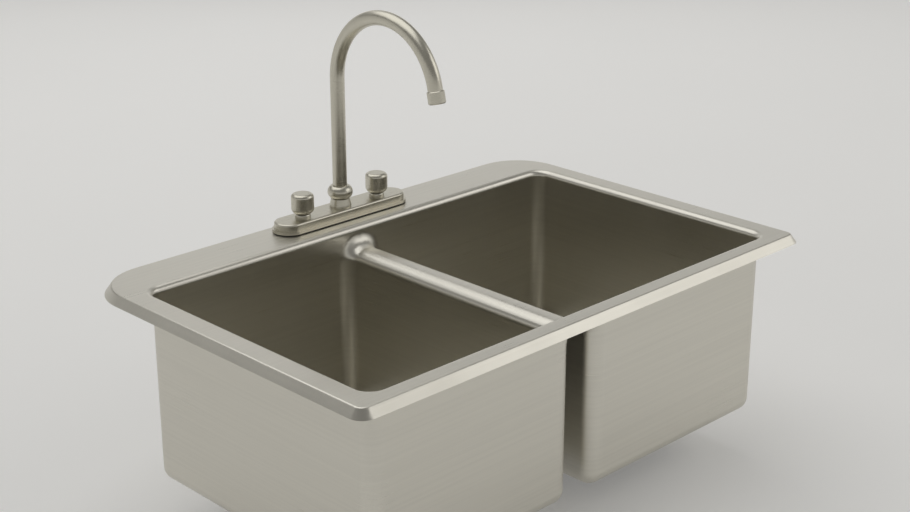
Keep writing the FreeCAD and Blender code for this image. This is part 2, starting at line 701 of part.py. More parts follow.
def spout_nut():
    """The bell-shaped nut that clamps the plate and keeps the spout's foot in."""
    lip = f"({SPOUT_NUT_TOP} - spout_nut_lip)"
    room = "(spout_size / 2 + retainer_width + moving_clearance)"
    return turned("spout_nut", tap_place("0"), [
        ("neck_size / 2 + thread_clearance", "base_height"),
        ("spout_nut_size / 2", "base_height"),
        ("spout_nut_size / 2", "base_height + base_skirt / 2"),
        ("spout_nut_top / 2", SPOUT_NUT_TOP),
        ("spout_size / 2 + moving_clearance", SPOUT_NUT_TOP),
        ("spout_size / 2 + moving_clearance", lip),
        (room, lip),
        (room, NECK_TOP),
        ("neck_size / 2 + thread_clearance", NECK_TOP),
    ])


def spout_tube():
    """The gooseneck: one bent tube, straight up, over in an arc and down to the tip."""
    body = new_body("spout_tube", tap_place("0"))
    route = new_sketch(body, "YZ_Plane")
    turn = "(180 - spout_sweep)"
    arc_end = (f"-spout_radius * (1 + cos{turn})", f"spout_rise + spout_radius * sin{turn}")
    tip = spout_end()
    spots = [("0", SPOUT_FOOT), ("0", "spout_rise"), arc_end, tip, ("-spout_radius", "spout_rise")]
    spots = [Vector(value(across), value(up), 0) for across, up in spots]
    foot_at, rise_at, arc_at, tip_at, middle_at = spots
    bend = Part.Circle(middle_at, Vector(0, 0, 1), value("spout_radius"))
    rise = route.addGeometry(Part.LineSegment(foot_at, rise_at))
    arc = route.addGeometry(Part.ArcOfCircle(bend, 0, math.radians(value("spout_sweep"))))
    fall = route.addGeometry(Part.LineSegment(arc_at, tip_at))
    route.addConstraint(Sketcher.Constraint("Coincident", rise, 2, arc, 1))
    route.addConstraint(Sketcher.Constraint("Coincident", arc, 2, fall, 1))
    held = route.addConstraint(Sketcher.Constraint("Radius", arc, value("spout_radius")))
    bind(route, f"Constraints[{held}]", "spout_radius")
    pin(route, rise, 1, "0", SPOUT_FOOT)
    pin(route, rise, 2, "0", "spout_rise")
    pin(route, arc, 2, *arc_end)
    pin(route, fall, 2, *tip)
    section = new_sketch(body, "XY_Plane", SPOUT_FOOT)
    circle(section, "0", "0", "spout_size")
    circle(section, "0", "0", f"2 * {SPOUT_BORE}")
    pipe = body.newObject("PartDesign::AdditivePipe", "spout_tube_pipe")
    pipe.Profile = section
    pipe.Spine = route
    return body


def spout_end():
    """Where the spout's end is, across and up from the tap's middle on the deck."""
    turn = "(180 - spout_sweep)"
    across = f"(-spout_radius * (1 + cos{turn}) - spout_tip * sin{turn})"
    up = f"(spout_rise + spout_radius * sin{turn} - spout_tip * cos{turn})"
    return across, up


def spout_collar():
    """The round collar above the nut."""
    middle = f"({COLLAR_FOOT} + collar_height / 2)"
    top = f"({COLLAR_FOOT} + collar_height)"
    bulge = "((collar_size - collar_end) / 2)"
    radius = f"((collar_height ^ 2 / 4 + {bulge} ^ 2) / (2 * {bulge}))"
    bore = "spout_size / 2"
    return turned("spout_collar", tap_place("0"), [
        (bore, COLLAR_FOOT),
        ("collar_end / 2", COLLAR_FOOT, radius, 1),
        ("collar_size / 2", middle, radius, 1),
        ("collar_end / 2", top),
        (bore, top),
    ])


def spout_pieces():
    tap = tap_place("0")
    tube = "spout_size / 2"
    retainer_top = f"{SPOUT_FOOT} + retainer_height"
    return [
        spout_hub(),
        o_ring("lower_o_ring", "ring_low"),
        o_ring("upper_o_ring", "ring_high"),
        ring("spout_bush", tap, f"{POST} + bush_gap", f"{tube} - moving_clearance", NECK_TOP, SPOUT_FOOT),
        spout_nut(),
        spout_tube(),
        ring("spout_retainer", tap, tube, f"{tube} + retainer_width", SPOUT_FOOT, retainer_top),
        spout_collar(),
    ]


# Aerator, in a frame whose origin is the middle of the spout's end and whose Z runs back up the spout

def aerator_place():
    across, up = spout_end()
    return ("0", f"{FAUCET_LINE} + {across}", f"rim_height + {up}")


def tip_along_spout(body):
    body.Placement.Rotation = Rotation(Vector(-1, 0, 0), 180 - value("spout_sweep"))
    bind(body, "Placement.Rotation.Angle", "180 - spout_sweep")
    return body


def aerator_pieces():
    place = aerator_place()
    chamber = "(spout_size / 2 - aerator_gap)"
    floor = "(-aerator_chamber)"
    washer_low = "(-aerator_washer_thickness)"
    shell = turned("aerator_shell", place, [
        ("aerator_mouth / 2", f"{floor} - aerator_lip"),
        ("aerator_size / 2 - aerator_lip", f"{floor} - aerator_lip"),
        ("aerator_size / 2", floor),
        ("aerator_size / 2", "aerator_cover - aerator_lip"),
        ("aerator_size / 2 - aerator_lip", "aerator_cover"),
        ("spout_size / 2 + thread_clearance", "aerator_cover"),
        ("spout_size / 2 + thread_clearance", "0"),
        ("spout_size / 2", "0"),
        ("spout_size / 2", floor),
        ("aerator_mouth / 2", floor),
    ])
    washer = ring("aerator_washer", place, SPOUT_BORE, chamber, washer_low, "0")
    insert = turned("aerator_insert", place, [
        ("0", floor), (chamber, floor), (chamber, washer_low), ("0", washer_low),
    ])
    hole = bored(insert, [("aerator_hole_ring", "0", "aerator_hole")], "0")
    ring_of(insert, hole, "aerator_hole_count")
    return [tip_along_spout(piece) for piece in (shell, washer, insert)]


# Valves, knobs and waterways

def valve_body(name, place, turned_about):
    """The brass body of one valve: supply shank below, room for the cartridge, thread for the bonnet nut."""
    bore = "(cartridge_size / 2 + cartridge_fit)"
    points = [("shank_bore / 2", "-shank_length")] + shank_outline("valve_neck_size")
    points += [(bore, NECK_TOP), (bore, "-cartridge_depth"), ("shank_bore / 2", "-cartridge_depth")]
    body = turned(f"{name}_valve_body", place, points)
    waterway_hole(body).Reversed = turned_about
    return body


def cartridge(name, place):
    """The sleeve that the stem turns in; its lower room holds the stem's foot."""
    stem = "(stem_size / 2 + running_clearance)"
    foot = "(stem_foot_size / 2 + running_clearance)"
    shoulder = "(stem_foot_height + end_play - cartridge_depth)"
    outside = "cartridge_size / 2"
    return turned(f"{name}_cartridge", place, [
        (foot, "-cartridge_depth"), (outside, "-cartridge_depth"), (outside, NECK_TOP),
        (stem, NECK_TOP), (stem, shoulder), (foot, shoulder),
    ])


def bonnet_nut(name, place):
    """The round nut that holds the plate down and the cartridge in."""
    hole = "(stem_size / 2 + moving_clearance)"
    under = f"({NECK_TOP} + end_play)"
    thread = "valve_neck_size / 2 + thread_clearance"
    return turned(f"{name}_bonnet_nut", place, [
        (thread, "base_height"), ("bonnet_size / 2", "base_height"), ("bonnet_size / 2", under),
        ("bonnet_size / 2 - bonnet_top / 2", BONNET_TOP), (hole, BONNET_TOP), (hole, under), (thread, under),
    ])


def stem(name, place):
    """The stem with its foot below and a tapped end inside the knob."""
    foot_top = "stem_foot_height - cartridge_depth"
    tapped = f"{STEM_TOP} - knob_screw_length - end_play"
    hole = "(knob_screw_size / 2)"
    return turned(f"{name}_stem", place, [
        ("0", "-cartridge_depth"),
        ("stem_foot_size / 2", "-cartridge_depth"),
        ("stem_foot_size / 2", foot_top),
        ("stem_size / 2", foot_top),
        ("stem_size / 2", STEM_TOP),
        (hole, STEM_TOP),
        (hole, tapped),
        ("0", tapped),
    ])


def knob(name, place):
    """The cup-shaped knob, hollow below, with room for its screw and cap above."""
    foot = "(knob_foot_size / 2)"
    narrowing = "((knob_size - knob_foot_size) / 2)"
    curve = f"(({narrowing} ^ 2 + knob_taper_height ^ 2) / (2 * {narrowing}))"
    cap = "(knob_cap_size / 2 + knob_cap_gap)"
    head = "(knob_screw_head / 2 + screw_clearance)"
    cap_floor = f"({KNOB_TOP} - knob_cap_height)"
    skirt = "(stem_size / 2 + knob_skirt_gap)"
    skirt_top = f"({KNOB_FOOT} + knob_skirt_depth)"
    return turned(f"{name}_knob", place, [
        ("stem_size / 2", skirt_top),
        (skirt, skirt_top),
        (skirt, KNOB_FOOT),
        (foot, KNOB_FOOT, curve, 1),
        ("knob_size / 2", f"{KNOB_FOOT} + knob_taper_height"),
        ("knob_size / 2", f"{KNOB_TOP} - knob_round", "knob_round", 1),
        ("knob_size / 2 - knob_round", KNOB_TOP),
        (cap, KNOB_TOP),
        (cap, cap_floor),
        (head, cap_floor),
        (head, WEB_TOP),
        ("knob_screw_size / 2 + screw_clearance", WEB_TOP),
        ("knob_screw_size / 2 + screw_clearance", STEM_TOP),
        ("stem_size / 2", STEM_TOP),
    ])


def knob_screw(name, place):
    """The screw that holds the knob on its stem, with a plain slot across its head."""
    head_top = f"({WEB_TOP} + knob_screw_head_height)"
    thread = "knob_screw_size / 2"
    body = turned(f"{name}_knob_screw", place, [
        ("0", f"{STEM_TOP} - knob_screw_length"),
        (thread, f"{STEM_TOP} - knob_screw_length"),
        (thread, WEB_TOP),
        ("knob_screw_head / 2", WEB_TOP),
        ("knob_screw_head / 2", head_top),
        ("0", head_top),
    ])
    slot = new_sketch(body, "XY_Plane", head_top)
    half_length, half_width = "knob_screw_head", "knob_screw_size / 8"
    outline(slot, [(f"-{half_length}", f"-{half_width}"), (half_length, f"-{half_width}"),
                   (half_length, half_width), (f"-{half_length}", half_width)])
    pocket(body, slot, "knob_screw_head_height / 2")
    return body


def index_cap(name, place):
    """The plain cap that closes the top of a knob."""
    low = f"{KNOB_TOP} - knob_cap_height"
    return turned(f"{name}_index_cap", place, [
        ("0", low), ("knob_cap_size / 2", low), ("knob_cap_size / 2", KNOB_TOP), ("0", KNOB_TOP),
    ])


def waterway(name, start):
    """A brass tube from the hub to one valve, its ends shaped to the two round bodies."""
    tubes = []
    for part, size in (("tube", "waterway_size"), ("bore", "waterway_bore")):
        tube = doc.addObject("Part::Cylinder", f"{name}_waterway_{part}")
        bind(tube, "Radius", f"{size} / 2")
        bind(tube, "Height", "handle_pitch / 2")
        tube.Placement = Placement(Vector(), Rotation(Vector(0, 1, 0), 90))
        place_at(tube, (start, FAUCET_LINE, "rim_height + waterway_level"))
        tubes.append(tube)
    ends = []
    for part, across in (("near", start), ("far", f"{start} + handle_pitch / 2")):
        end = doc.addObject("Part::Cylinder", f"{name}_waterway_{part}_end")
        bind(end, "Radius", "body_size / 2")
        bind(end, "Height", "2 * base_height")
        place_at(end, (across, FAUCET_LINE, "rim_height - base_height / 2"))
        ends.append(end)
    hollow = doc.addObject("Part::Cut", f"{name}_waterway_hollow")
    hollow.Base, hollow.Tool = tubes
    both_ends = doc.addObject("Part::Fuse", f"{name}_waterway_ends")
    both_ends.Base, both_ends.Tool = ends
    piece = doc.addObject("Part::Cut", f"{name}_waterway")
    piece.Base, piece.Tool = hollow, both_ends
    return piece


def valve(name, across, turned_about):
    place = tap_place(across)
    return [
        valve_body(name, place, turned_about),
        cartridge(name, place),
        bonnet_nut(name, place),
        stem(name, place),
        knob(name, place),
        knob_screw(name, place),
        index_cap(name, place),
    ]


def shank_nut(name, across):
    """A six-sided nut under the deck."""
    place = (across, FAUCET_LINE, f"{UNDER_DECK} - shank_washer_thickness - shank_nut_height")
    body = new_body(f"{name}_shank_nut", place)
    sketch = new_sketch(body, "XY_Plane")
    flat = "shank_nut_size / 2"
    side = f"({flat} * tan(30))"
    point = f"({flat} / cos(30))"
    outline(sketch, [(flat, f"-{side}"), (flat, side), ("0", point),
                     (f"-{flat}", side), (f"-{flat}", f"-{side}"), ("0", f"-{point}")])
    circle(sketch, "0", "0", "shank_size + 2 * thread_clearance")
    pad(body, sketch, "shank_nut_height")
    return body


def shank_washer(name, across):
    place = (across, FAUCET_LINE, f"{UNDER_DECK} - shank_washer_thickness")
    inside = "shank_size / 2 + thread_clearance"
    return ring(f"{name}_shank_washer", place, inside, "shank_washer_size / 2", "0", "shank_washer_thickness")


# Everything together

def build():
    drawn = drawn_bowls()
    pieces = [sink_deck()]
    pieces.append(bowl("left", drawn, "-rim_length", "divider_offset", LEFT_DRAIN))
    pieces.append(bowl("right", drawn, "divider_offset", "rim_length", RIGHT_DRAIN))
    pieces.append(sound_pad("left", TUB_LEFT, DIVIDER_LEFT, LEFT_DRAIN))
    pieces.append(sound_pad("right", DIVIDER_RIGHT, TUB_RIGHT, RIGHT_DRAIN))
    pieces += drain("left", LEFT_DRAIN)
    pieces += drain("right", RIGHT_DRAIN)
    pieces += [faucet_base(), base_gasket()]
    pieces += spout_pieces()
    pieces += aerator_pieces()
    pieces += valve("hot", "-handle_pitch / 2", False)
    pieces += valve("cold", "handle_pitch / 2", True)
    pieces += [waterway("hot", "-handle_pitch / 2"), waterway("cold", "0")]
    for name, across in (("hot", "-handle_pitch / 2"), ("spout", "0"), ("cold", "handle_pitch / 2")):
        pieces += [shank_washer(name, across), shank_nut(name, across)]
    doc.recompute()
    return pieces


def check(pieces):
    """Stops where a feature failed, cut nothing, or left a shape that isn't one sound solid."""
    for item in doc.Objects:
        if "Invalid" in item.State or "Error" in item.State:
            raise RuntimeError(f"{item.Label}: {item.State}")
        before = getattr(item, "BaseFeature", None)
        if before is not None and abs(item.Shape.Volume - before.Shape.Volume) < 1e-6:
            raise RuntimeError(f"{item.Label} changes nothing")
    for piece in pieces:
        if piece.Shape.isNull() or not piece.Shape.isValid() or len(piece.Shape.Solids) != 1:
            raise RuntimeError(f"{piece.Label} isn't one sound solid")


parts = build()
check(parts)
os.makedirs("parts", exist_ok=True)
for part in parts:
    part.Shape.exportStep(f"parts/{part.Label}.step")
print(len(parts), "pieces")
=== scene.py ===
import json
import math
import bpy
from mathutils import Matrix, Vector


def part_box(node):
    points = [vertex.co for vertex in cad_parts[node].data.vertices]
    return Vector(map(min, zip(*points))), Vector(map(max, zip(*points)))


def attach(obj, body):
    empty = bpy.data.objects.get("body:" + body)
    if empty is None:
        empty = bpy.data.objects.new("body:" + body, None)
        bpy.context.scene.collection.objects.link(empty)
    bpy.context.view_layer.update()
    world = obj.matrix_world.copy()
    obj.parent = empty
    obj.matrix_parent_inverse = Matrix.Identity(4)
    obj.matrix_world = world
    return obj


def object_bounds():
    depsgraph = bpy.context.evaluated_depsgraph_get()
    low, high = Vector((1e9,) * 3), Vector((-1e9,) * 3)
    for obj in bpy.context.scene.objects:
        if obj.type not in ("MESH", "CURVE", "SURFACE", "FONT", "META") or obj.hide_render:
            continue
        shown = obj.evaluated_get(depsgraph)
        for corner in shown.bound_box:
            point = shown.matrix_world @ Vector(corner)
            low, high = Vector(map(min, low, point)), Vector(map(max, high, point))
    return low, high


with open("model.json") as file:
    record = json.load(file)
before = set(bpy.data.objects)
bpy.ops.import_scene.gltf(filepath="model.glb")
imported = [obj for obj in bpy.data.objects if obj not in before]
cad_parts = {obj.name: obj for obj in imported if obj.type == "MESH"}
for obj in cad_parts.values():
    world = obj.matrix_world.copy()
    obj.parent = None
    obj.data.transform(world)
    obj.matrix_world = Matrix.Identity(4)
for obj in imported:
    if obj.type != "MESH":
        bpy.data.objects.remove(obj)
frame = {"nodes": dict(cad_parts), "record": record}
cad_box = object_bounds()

# The photograph's camera, in the sink's frame
CAMERA_AZIMUTH = math.radians(-44.5)
CAMERA_ELEVATION = math.radians(20.4)
CAMERA_DISTANCE = 2.23
CAMERA_TARGET = Vector((0.0008, 0.0012, 0.012))
SENSOR_WIDTH = 36.0
FOCAL_PIXELS = 1625.0
PHOTO_WIDTH = 910

# Finishes, in linear colour
SHEET_STEEL = (0.69, 0.668, 0.60)
POLISHED_STEEL = (0.72, 0.715, 0.69)
BASKET_STEEL = (0.50, 0.495, 0.47)
SATIN_NICKEL = (0.62, 0.595, 0.51)
PLATED_STEEL = (0.50, 0.51, 0.52)
BRASS = (0.62, 0.46, 0.20)
CAST_ZINC = (0.36, 0.37, 0.38)
BLACK_RUBBER = (0.022, 0.022, 0.023)
GREY_RUBBER = (0.045, 0.046, 0.05)
FIBRE = (0.30, 0.22, 0.13)
IVORY_PLASTIC = (0.66, 0.65, 0.60)
FLOOR_COLOUR = (0.82, 0.815, 0.80)

# Brushing: its lines in a metre along and across it, how far it lifts the surface in metres, how far it
# stretches a highlight, from 0 to 1, and the nickel's least and most roughness
SHEET_GRAIN = (6.0, 1400.0)
SHEET_STREAKS = (2.5, 240.0)
SHEET_LIFT = 0.000005
BRUSHED_STRETCH = 0.6
TAP_GRAIN = (18.0, 2600.0)
TAP_LIFT = 0.000003
NICKEL_ROUGHNESS = (0.25, 0.35)

# Smoothing: the distance in metres at which corners weld, and the angle from which an edge stays sharp
WELD_DISTANCE = 0.000005
SHARP_ANGLE = math.radians(32.0)

# Threads: pitches in metres, the ridge's height as a share of its pitch, how far in metres its foot is
# sunk into the shank, where its crest starts and ends as shares of the pitch, and the facets in a turn
DRAIN_PITCH = 0.0023
SHANK_PITCH = 0.0018
RIDGE_HEIGHT = 0.26
RIDGE_SUNK = 0.0003
RIDGE_CREST = (0.42, 0.58)
THREAD_SIDES = 40

# Radii of the threaded stretches that no mount states
CUP_RADIUS = 0.0372
SHANK_RADIUS = 0.011

# The level in metres at which the spout's straight leg goes over into its bend
BEND_LEVEL = 0.219

# The stage: a round floor whose rim curves up, as (radius, height) in metres, and its glow near the sink
# and far from it, with the distances between which it grows
STAGE_PROFILE = ((6.0, 0.0), (6.8, 0.12), (7.5, 0.5), (8.0, 1.1), (8.2, 1.9), (8.25, 3.0))
STAGE_SIDES = 96
NEAR_GLOW = 0.2
FAR_GLOW = 0.42
GLOW_START = 1.0
GLOW_END = 6.0

# What the lamps point at
LIGHT_AIM = (0.0, 0.0, -0.05)

# Places of a mix node's sockets for vectors: the factor, the two vectors and the result
VECTOR_MIX_INPUTS = (0, 4, 5)
VECTOR_MIX_OUTPUT = 1


# Node helpers

class Recipe:
    """A material under construction: a shader and short ways to add the nodes that feed it."""

    def __init__(self, name):
        self.material = bpy.data.materials.new(name)
        self.material.use_nodes = True
        self.tree = self.material.node_tree
        self.shader = self.tree.nodes["Principled BSDF"]
        self.place = self.add("ShaderNodeTexCoord").outputs["Object"]

    def add(self, kind, **settings):
        node = self.tree.nodes.new(kind)
        for name, setting in settings.items():
            setattr(node, name, setting)
        return node

    def link(self, start, end):
        self.tree.links.new(start, end)

    def mapped(self, source, setting, amounts):
        """A place that is scaled along its axes or turned about them."""
        mapping = self.add("ShaderNodeMapping")
        mapping.inputs[setting].default_value = amounts
        self.link(source, mapping.inputs["Vector"])
        return mapping.outputs["Vector"]

    def noise(self, scale, detail=4.0, turn=0.0):
        """Noise over the object: the cells in a metre along each axis, and their heading in degrees."""
        place = self.place
        if turn:
            place = self.mapped(place, "Rotation", (0.0, 0.0, math.radians(turn)))
        node = self.add("ShaderNodeTexNoise")
        node.inputs["Scale"].default_value = 1.0
        node.inputs["Detail"].default_value = detail
        self.link(self.mapped(place, "Scale", scale), node.inputs["Vector"])
        return node.outputs["Fac"]

    def ranged(self, source, low, high, start=0.3, end=0.7):
        """A value moved from the range start to end into the range low to high."""
        node = self.add("ShaderNodeMapRange")
        node.inputs["From Min"].default_value = start
        node.inputs["From Max"].default_value = end
        node.inputs["To Min"].default_value = low
        node.inputs["To Max"].default_value = high
        self.link(source, node.inputs["Value"])
        return node.outputs["Result"]

    def math(self, operation, first, second=0.0):
        """The result of an operation on one or two values, each a number or a node's output."""
        node = self.add("ShaderNodeMath", operation=operation)
        for socket, value in zip(node.inputs, (first, second)):
            if isinstance(value, (int, float)):
                socket.default_value = value
            else:
                self.link(value, socket)
        return node.outputs["Value"]

    def mixed(self, factor, first, second):
        """A value between two others, by a factor."""
        node = self.add("ShaderNodeMix", data_type="FLOAT")
        for name, value in (("Factor", factor), ("A", first), ("B", second)):
            self.link(value, node.inputs[name])
        return node.outputs["Result"]

    def coloured(self, source, dark, light):
        """A colour between two others, by a value from 0 to 1."""
        ramp = self.add("ShaderNodeValToRGB")
        ramp.color_ramp.elements[0].color = (*dark, 1.0)
        ramp.color_ramp.elements[1].color = (*light, 1.0)
        self.link(source, ramp.inputs["Fac"])
        self.link(ramp.outputs["Color"], self.shader.inputs["Base Color"])

    def bumped(self, height, depth):
        """Raises the surface by a height from 0 to 1, up to a depth in metres."""
        bump = self.add("ShaderNodeBump")
        bump.inputs["Strength"].default_value = 1.0
        bump.inputs["Distance"].default_value = depth
        self.link(height, bump.inputs["Height"])
        self.link(bump.outputs["Normal"], self.shader.inputs["Normal"])

    def rough(self, source):
        self.link(source, self.shader.inputs["Roughness"])

    def level(self):
        """How level the surface is, from 0 on a wall to 1 on a floor."""
        geometry = self.add("ShaderNodeNewGeometry")
        split = self.add("ShaderNodeSeparateXYZ")
        self.link(geometry.outputs["Normal"], split.inputs["Vector"])
        upright = self.math("ABSOLUTE", split.outputs["Z"])
        return self.ranged(upright, 0.0, 1.0, 0.45, 0.75)


def shade(colour, factor):
    return tuple(channel * factor for channel in colour)


# Materials

def brushing(recipe, level, grain):
    """Lines that run along the sink on level faces, and level with the rim on the walls."""
    along, across = grain
    deck_lines = recipe.noise((along, across, across), 3.0)
    wall_lines = recipe.noise((along, along, across), 3.0)
    return recipe.mixed(level, wall_lines, deck_lines)


def brushed_heading(recipe, level):
    """Stretches the highlights across the brushing: along the sink on level faces, level on the walls."""
    around = recipe.add("ShaderNodeVectorMath", operation="CROSS_PRODUCT")
    around.inputs[0].default_value = (0.0, 0.0, 1.0)
    recipe.link(recipe.add("ShaderNodeNewGeometry").outputs["Normal"], around.inputs[1])
    choice = recipe.add("ShaderNodeMix", data_type="VECTOR")
    factor, on_walls, on_level = (choice.inputs[place] for place in VECTOR_MIX_INPUTS)
    recipe.link(level, factor)
    recipe.link(around.outputs["Vector"], on_walls)
    on_level.default_value = (1.0, 0.0, 0.0)
    recipe.link(choice.outputs[VECTOR_MIX_OUTPUT], recipe.shader.inputs["Tangent"])
    recipe.shader.inputs["Anisotropic"].default_value = BRUSHED_STRETCH


def scuffs(recipe, level):
    """Sparse fine scratches on the level faces, in two headings."""
    first = recipe.noise((9.0, 600.0, 9.0), 2.0, turn=28.0)
    second = recipe.noise((9.0, 600.0, 9.0), 2.0, turn=-41.0)
    sharpest = recipe.ranged(recipe.math("MAXIMUM", first, second), 0.0, 1.0, 0.66, 0.74)
    return recipe.math("MULTIPLY", sharpest, level)


def sheet_steel():
    """Brushed sheet: fine grain that roughens it, wider streaks that tint it, clouds and scuffs from use."""
    recipe = Recipe("sheet_steel")
    recipe.shader.inputs["Metallic"].default_value = 1.0
    level = recipe.level()
    grain = brushing(recipe, level, SHEET_GRAIN)
    streaks = brushing(recipe, level, SHEET_STREAKS)
    cloud = recipe.noise((9.0, 9.0, 9.0), 3.0)
    scratch = scuffs(recipe, level)
    line_rough = recipe.math("ADD", recipe.ranged(grain, 0.28, 0.36), recipe.ranged(streaks, -0.015, 0.025))
    worn_rough = recipe.math("MULTIPLY", scratch, 0.06)
    worn_rough = recipe.math("ADD", recipe.ranged(cloud, -0.02, 0.04), worn_rough)
    recipe.rough(recipe.math("ADD", line_rough, worn_rough))
    tone = recipe.math("ADD", recipe.ranged(streaks, 0.0, 0.7), recipe.ranged(cloud, 0.0, 0.3))
    recipe.coloured(tone, shade(SHEET_STEEL, 0.96), shade(SHEET_STEEL, 1.04))
    recipe.bumped(grain, SHEET_LIFT)
    brushed_heading(recipe, level)
    return recipe.material


def around_axis(recipe):
    """Fine lines around a piece's upright axis."""
    along, across = TAP_GRAIN
    return recipe.noise((along, along, across), 3.0)


def finish_metal(recipe, colour, grain, roughness):
    """Lets a grain roughen, tint and lift a metal, with faint smudges from handling."""
    recipe.shader.inputs["Metallic"].default_value = 1.0
    smudge = recipe.noise((45.0, 45.0, 45.0), 5.0)
    grain_rough = recipe.ranged(grain, *roughness)
    recipe.rough(recipe.math("ADD", grain_rough, recipe.ranged(smudge, -0.01, 0.03)))
    tone = recipe.math("ADD", recipe.ranged(grain, 0.0, 0.6), recipe.ranged(smudge, 0.0, 0.4))
    recipe.coloured(tone, shade(colour, 0.95), shade(colour, 1.05))
    recipe.bumped(grain, TAP_LIFT)


def turned_metal(name, colour, roughness):
    """Metal with a fine grain around its upright axis."""
    recipe = Recipe(name)
    finish_metal(recipe, colour, around_axis(recipe), roughness)
    return recipe.material


def plate_nickel():
    """Nickel with a grain along the tap's base plate, and level on its sides."""
    recipe = Recipe("plate_nickel")
    grain = brushing(recipe, recipe.level(), TAP_GRAIN)
    finish_metal(recipe, SATIN_NICKEL, grain, NICKEL_ROUGHNESS)
    return recipe.material


def spout_nickel():
    """Nickel with a grain that goes around the spout all along its bend."""
    recipe = Recipe("spout_nickel")
    recipe.place = along_bend(recipe)
    finish_metal(recipe, SATIN_NICKEL, around_axis(recipe), NICKEL_ROUGHNESS)
    return recipe.material


def along_bend(recipe):
    """A place on the spout: across it, out from the bend's centre, and the way along the tube."""
    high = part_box("spout_tube")[1]
    bend_radius = high.z - BEND_LEVEL - high.x
    centre = high.y - high.x - bend_radius
    split = recipe.add("ShaderNodeSeparateXYZ")
    recipe.link(recipe.place, split.inputs["Vector"])
    rearward = recipe.math("SUBTRACT", split.outputs["Y"], centre)
    upward = recipe.math("SUBTRACT", split.outputs["Z"], BEND_LEVEL)
    above = recipe.math("MAXIMUM", upward, 0.0)
    below = recipe.math("MINIMUM", upward, 0.0)
    turn = recipe.math("ARCTAN2", above, rearward)
    way = recipe.math("ADD", recipe.math("MULTIPLY", turn, bend_radius), below)
    squares = recipe.math("ADD", recipe.math("POWER", rearward, 2.0), recipe.math("POWER", above, 2.0))
    join = recipe.add("ShaderNodeCombineXYZ")
    recipe.link(split.outputs["X"], join.inputs["X"])
    recipe.link(recipe.math("SQRT", squares), join.inputs["Y"])
    recipe.link(way, join.inputs["Z"])
    return join.outputs["Vector"]


def machined_brass():
    """Brass with fine turning marks and a dull bloom."""
    recipe = Recipe("machined_brass")
    recipe.shader.inputs["Metallic"].default_value = 1.0
    bloom = recipe.noise((60.0, 60.0, 60.0), 6.0)
    marks = recipe.noise((30.0, 30.0, 2400.0), 2.0)
    recipe.rough(recipe.ranged(bloom, 0.26, 0.48))
    recipe.coloured(recipe.ranged(bloom, 0.0, 1.0), shade(BRASS, 0.78), shade(BRASS, 1.1))
    recipe.bumped(marks, 0.00001)
    return recipe.material


def cast_zinc():
    """Die-cast zinc with a slightly grainy skin."""
    recipe = Recipe("cast_zinc")
    recipe.shader.inputs["Metallic"].default_value = 1.0
    grain = recipe.noise((700.0, 700.0, 700.0), 4.0)
    bloom = recipe.noise((40.0, 40.0, 40.0), 4.0)
    recipe.rough(recipe.ranged(bloom, 0.42, 0.6))
    recipe.coloured(recipe.ranged(bloom, 0.0, 1.0), shade(CAST_ZINC, 0.85), shade(CAST_ZINC, 1.1))
    recipe.bumped(grain, 0.00005)
    return recipe.material


def rubber(name, colour, grain_scale, depth):
    """Matt rubber with a fine grain and a little dust."""
    recipe = Recipe(name)
    grain = recipe.noise((grain_scale,) * 3, 3.0)
    dust = recipe.noise((35.0, 35.0, 35.0), 4.0)
    recipe.rough(recipe.ranged(dust, 0.62, 0.85))
    recipe.coloured(recipe.ranged(dust, 0.0, 1.0), shade(colour, 0.8), shade(colour, 1.5))
    recipe.bumped(grain, depth)
    return recipe.material


def fibre():
    """Pressed fibre board, for the slip rings."""
    recipe = Recipe("fibre")
    strands = recipe.noise((900.0, 350.0, 900.0), 6.0)
    recipe.rough(recipe.ranged(strands, 0.75, 0.95))
    recipe.coloured(recipe.ranged(strands, 0.0, 1.0), shade(FIBRE, 0.7), shade(FIBRE, 1.2))
    recipe.bumped(strands, 0.00006)
    return recipe.material


def moulded_plastic():
    """Ivory plastic with a soft moulded sheen."""
    recipe = Recipe("moulded_plastic")
    grain = recipe.noise((500.0, 500.0, 500.0), 3.0)
    tint = recipe.noise((50.0, 50.0, 50.0), 3.0)
    recipe.rough(recipe.ranged(grain, 0.35, 0.5))
    recipe.coloured(recipe.ranged(tint, 0.0, 1.0), shade(IVORY_PLASTIC, 0.92), IVORY_PLASTIC)
    recipe.bumped(grain, 0.00002)
    return recipe.material


def pale_floor():
    """The studio floor, barely mottled, with a glow far from the sink that the eye and the metal see."""
    recipe = Recipe("pale_floor")
    cloud = recipe.noise((2.0, 2.0, 2.0), 3.0)
    recipe.rough(recipe.ranged(cloud, 0.62, 0.72))
    recipe.coloured(recipe.ranged(cloud, 0.0, 1.0), shade(FLOOR_COLOUR, 0.985), FLOOR_COLOUR)
    away = recipe.add("ShaderNodeVectorMath", operation="LENGTH")
    recipe.link(recipe.place, away.inputs[0])
    glow = recipe.ranged(away.outputs["Value"], NEAR_GLOW, FAR_GLOW, GLOW_START, GLOW_END)
    path = recipe.add("ShaderNodeLightPath").outputs
    mirrored = recipe.math("MAXIMUM", path["Is Glossy Ray"], path["Is Transmission Ray"])
    seen = recipe.math("MAXIMUM", path["Is Camera Ray"], mirrored)
    recipe.link(recipe.math("MULTIPLY", glow, seen), recipe.shader.inputs["Emission Strength"])
    recipe.shader.inputs["Emission Color"].default_value = (*FLOOR_COLOUR, 1.0)
    return recipe.material


